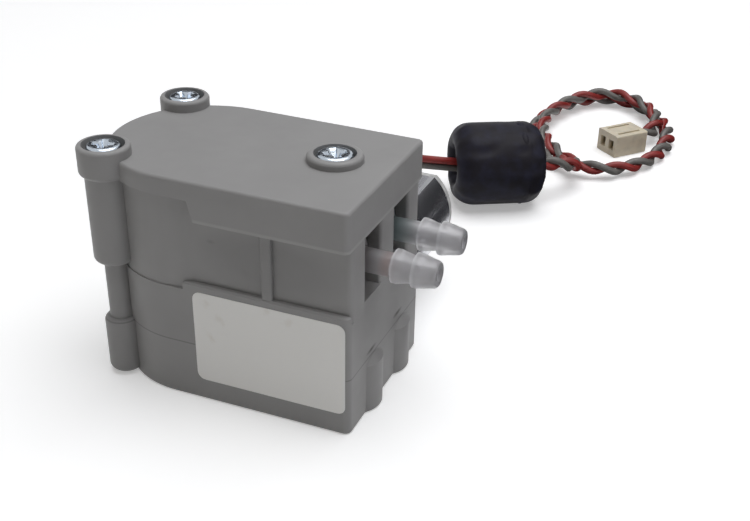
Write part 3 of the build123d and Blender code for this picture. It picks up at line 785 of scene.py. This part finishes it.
def strands(line, wire, pitch):
    """The two wires' centre lines, wound round the pair's line and parted at the coil's right."""
    along = travel(line)
    normal, out, angle = Vector((-0.3, 0.87, -0.4)), ([], []), 0.0
    for k, point in enumerate(line):
        ahead = (line[min(k + 1, len(line) - 1)] - line[max(k - 1, 0)]).normalized()
        normal = (normal - ahead * normal.dot(ahead)).normalized()
        side = ahead.cross(normal)
        s = along[k]
        if k and s > TWIST_FROM:
            uneven = 1 + 0.16 * noise.noise(Vector((s / (17 * MM), 2.0, 5.0)))
            angle += math.tau * (s - along[k - 1]) / (pitch * uneven)
        start = max(0.0, 1 - s / (9 * MM))
        out_from = point - COIL_AT
        loose = max(0.0, math.cos(math.atan2(out_from.y, out_from.x) - 0.1)) ** 5
        if out_from.length > 1.4 * COIL_HALF.y:
            loose = 0.0
        gap = wire / 2 * (1.02 + 0.5 * loose)
        turn = normal * math.cos(angle) + side * math.sin(angle)
        for sign, strand in zip((-1, 1), out):
            offset = turn * (sign * gap)
            if sign > 0:
                offset += turn * (1.4 * MM * start)
            else:
                offset *= 1 - start
            place = point + offset
            place.z = max(place.z, wire / 2)
            strand.append(place)
    return out


class PUMP_OT_leads(bpy.types.Operator):
    """Lay the twisted leads: terminals, bead, loose coil and plug"""
    bl_idname = "pump.leads"
    bl_label = "Leads"

    def execute(self, context):
        sizes, colours = context.scene.pump_sizes, context.scene.pump_colours
        route = ROUTE + coil_points(sizes.turn_points) + plug_points()
        line = evenly(smooth_line("lead_route", route), 0.7 * MM)
        red, grey = strands(line, sizes.wire, sizes.twist)
        points, faces = tube(red, sizes.wire / 2)
        more, others = tube(grey, sizes.wire / 2)
        first = len(points)
        pair = mesh_object("twisted_leads", points + more,
                           faces + [tuple(i + first for i in f) for f in others])
        for index, polygon in enumerate(pair.data.polygons):
            polygon.material_index = int(index >= len(faces))
        red_pvc = wire_pvc("red PVC insulation", colours.red)
        grey_pvc = wire_pvc("grey PVC insulation", colours.grey)
        indices = [p.material_index for p in pair.data.polygons]
        settle(pair, "twisted_leads", "body", [red_pvc, grey_pvc], 50)
        pair.data.polygons.foreach_set("material_index", indices)
        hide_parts("lead_run", "lead_coil")
        # the grey wire's own end, across to the far terminal
        low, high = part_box("motor_terminals")
        far = Vector((high.x - 0.25 * MM, high.y - 0.4 * MM, (low.z + high.z) / 2))
        tail = smooth_line("grey_tail", [far, far + Vector((-0.4, 3.2, 0.2)) * MM,
                                         far + Vector((-5.0, 5.4, 0.6)) * MM,
                                         grey[1] + Vector((2.2, -0.6, 0.2)) * MM, grey[3]])
        points, faces = tube(evenly(tail, 0.6 * MM), sizes.wire / 2 * 0.98)
        end = settle(mesh_object("grey_lead_end", points, faces), "grey_lead_end", "body",
                     [grey_pvc], 50)
        return {"FINISHED"}


class PUMP_OT_plug(bpy.types.Operator):
    """Finish the two-way plug and its contacts"""
    bl_idname = "pump.plug"
    bl_label = "Plug"

    def execute(self, context):
        dress("lead_connector", natural_nylon(context.scene.pump_colours.plug))
        dress("connector_contacts", bare_metal("tinned contact", paint("b9a88a"), 0.35))
        return {"FINISHED"}


# ------------------------------------------------------------------ stage
def seen_rays(tree):
    """1 for the rays that see the background itself, 0 for those that gather its light."""
    path = add(tree, "LightPath")
    seen = path.outputs["Is Camera Ray"]
    for other in ("Is Glossy Ray", "Is Transmission Ray"):
        seen = add(tree, "Math", {"operation": "MAXIMUM"}, i0=seen,
                   i1=path.outputs[other]).outputs[0]
    return seen


def white_ground():
    # seamless paper: the rays that see it add the white that it lacks, and it keeps the shadow
    material, tree, shader = finish("seamless paper", paint("f4f4f3"), 0.9,
                                    Specular_IOR_Level=0.1, Emission_Color=(1, 1, 1, 1))
    relief(tree, shader, grain(tree, 1.2 * MM), 0.05, 0.05 * MM)
    level = add(tree, "MapRange", None, Value=seen_rays(tree), i4=0.33)
    tree.links.new(level.outputs["Result"], shader.inputs["Emission Strength"])
    return material


def black_card():
    # matt black flocked card
    return finish("flocked card", paint("28272b"), 0.95, Specular_IOR_Level=0.0)[0]


class PUMP_OT_stage(bpy.types.Operator):
    """Set the pale floor, the soft lights and the camera"""
    bl_idname = "pump.stage"
    bl_label = "Stage"

    def lamp(self, name, place, aim, size, power, tone):
        data = bpy.data.lights.new(name, "AREA")
        data.shape, data.size, data.energy = "SQUARE", size, power
        data.color = paint(tone)[:3]
        lamp = bpy.data.objects.new(name, data)
        bpy.context.scene.collection.objects.link(lamp)
        lamp.location = place
        lamp.rotation_euler = (Vector(aim) - Vector(place)).to_track_quat("-Z", "Y").to_euler()

    def flag(self, name, place, size, turn):
        """A dark card that only reflections see, so that bright metal shows its form."""
        choose()
        bpy.ops.mesh.primitive_plane_add(size=1, location=place, rotation=turn)
        card = bpy.context.object
        card.name, card.scale = name, (*size, 1)
        card.data.materials.append(black_card())
        card.visible_camera = card.visible_diffuse = card.visible_shadow = False
        card.visible_transmission = False

    def world(self):
        world = bpy.data.worlds.new("pale room")
        bpy.context.scene.world = world
        world.use_nodes = True
        tree = world.node_tree
        tree.nodes.clear()
        level = add(tree, "MapRange", None, Value=seen_rays(tree), i3=0.1, i4=1.0)
        back = add(tree, "Background", Color=(1, 1, 1, 1), Strength=level.outputs["Result"])
        out = add(tree, "OutputWorld")
        tree.links.new(back.outputs[0], out.inputs[0])

    def camera(self, context):
        eye = Vector((90.46, -147.07, 112.09)) * MM
        aim = Vector((36.28, 17.92, 14.32)) * MM
        roll = math.radians(2.96)
        ahead = (aim - eye).normalized()
        right = ahead.cross(Vector((0, 0, 1))).normalized()
        up = right.cross(ahead)
        turned = right * math.cos(roll) + up * math.sin(roll)
        upright = turned.cross(ahead)
        data = bpy.data.cameras.new("camera")
        data.sensor_width, data.lens = 36, context.scene.pump_sizes.lens
        data.shift_x, data.shift_y = -0.0919, 0.0167
        data.clip_start, data.clip_end = 0.01, 20
        camera = bpy.data.objects.new("camera", data)
        bpy.context.scene.collection.objects.link(camera)
        camera.matrix_world = (Matrix.Translation(eye)
                               @ Matrix((turned, upright, -ahead)).transposed().to_4x4())
        context.scene.camera = camera

    def execute(self, context):
        choose()
        bpy.ops.mesh.primitive_plane_add(size=6, location=(0, 0, -0.05 * MM))
        floor = context.object
        floor.name = "floor"
        floor.data.materials.append(white_ground())
        self.lamp("overhead", (0.12, 0.1, 0.75), (0.02, 0.02, 0.02), 0.7, 5.25, "fbfcff")
        self.lamp("front fill", (-0.5, -0.9, 0.5), (0.02, 0.0, 0.02), 0.6, 0.3, "ffe8cc")
        self.lamp("right fill", (0.9, -0.05, 0.3), (0.02, 0.0, 0.02), 0.4, 0.22, "f0e8ff")
        self.flag("flag behind", (0.14, 0.27, 0.07), (0.30, 0.18), (math.radians(90), 0, -0.5))
        self.flag("flag below", (0.10, 0.13, 0.0002), (0.12, 0.24), (0, 0, 0))
        self.flag("flag above the screws", (-0.25, 0.33, 0.22), (0.36, 0.26),
                  (math.radians(70), 0, 0.65))
        self.world()
        self.camera(context)
        view = context.scene.view_settings
        view.view_transform = "Standard"
        return {"FINISHED"}


STEPS = (PUMP_OT_housing, PUMP_OT_label, PUMP_OT_screws, PUMP_OT_fluid_path, PUMP_OT_works,
         PUMP_OT_motor, PUMP_OT_ferrite, PUMP_OT_leads, PUMP_OT_plug, PUMP_OT_stage)


class PUMP_PT_panel(bpy.types.Panel):
    """Sidebar panel with the pump's sizes, colours and steps"""
    bl_label = "Roller tube pump"
    bl_idname = "PUMP_PT_panel"
    bl_space_type = "VIEW_3D"
    bl_region_type = "UI"
    bl_category = "Pump"

    def draw(self, context):
        column = self.layout.column()
        for group in (context.scene.pump_sizes, context.scene.pump_colours):
            for key in group.bl_rna.properties.keys():
                if key not in ("name", "rna_type"):
                    column.prop(group, key)
        for step in STEPS:
            column.operator(step.bl_idname)


CLASSES = (PumpColours, PumpSizes, *STEPS, PUMP_PT_panel)


def register():
    for cls in CLASSES:
        bpy.utils.register_class(cls)
    bpy.types.Scene.pump_colours = PointerProperty(type=PumpColours)
    bpy.types.Scene.pump_sizes = PointerProperty(type=PumpSizes)


def unregister():
    del bpy.types.Scene.pump_sizes
    del bpy.types.Scene.pump_colours
    for cls in reversed(CLASSES):
        bpy.utils.unregister_class(cls)


def main():
    register()
    for step in STEPS:
        family, name = step.bl_idname.split(".")
        getattr(getattr(bpy.ops, family), name)()


if __name__ == "__main__":
    main()
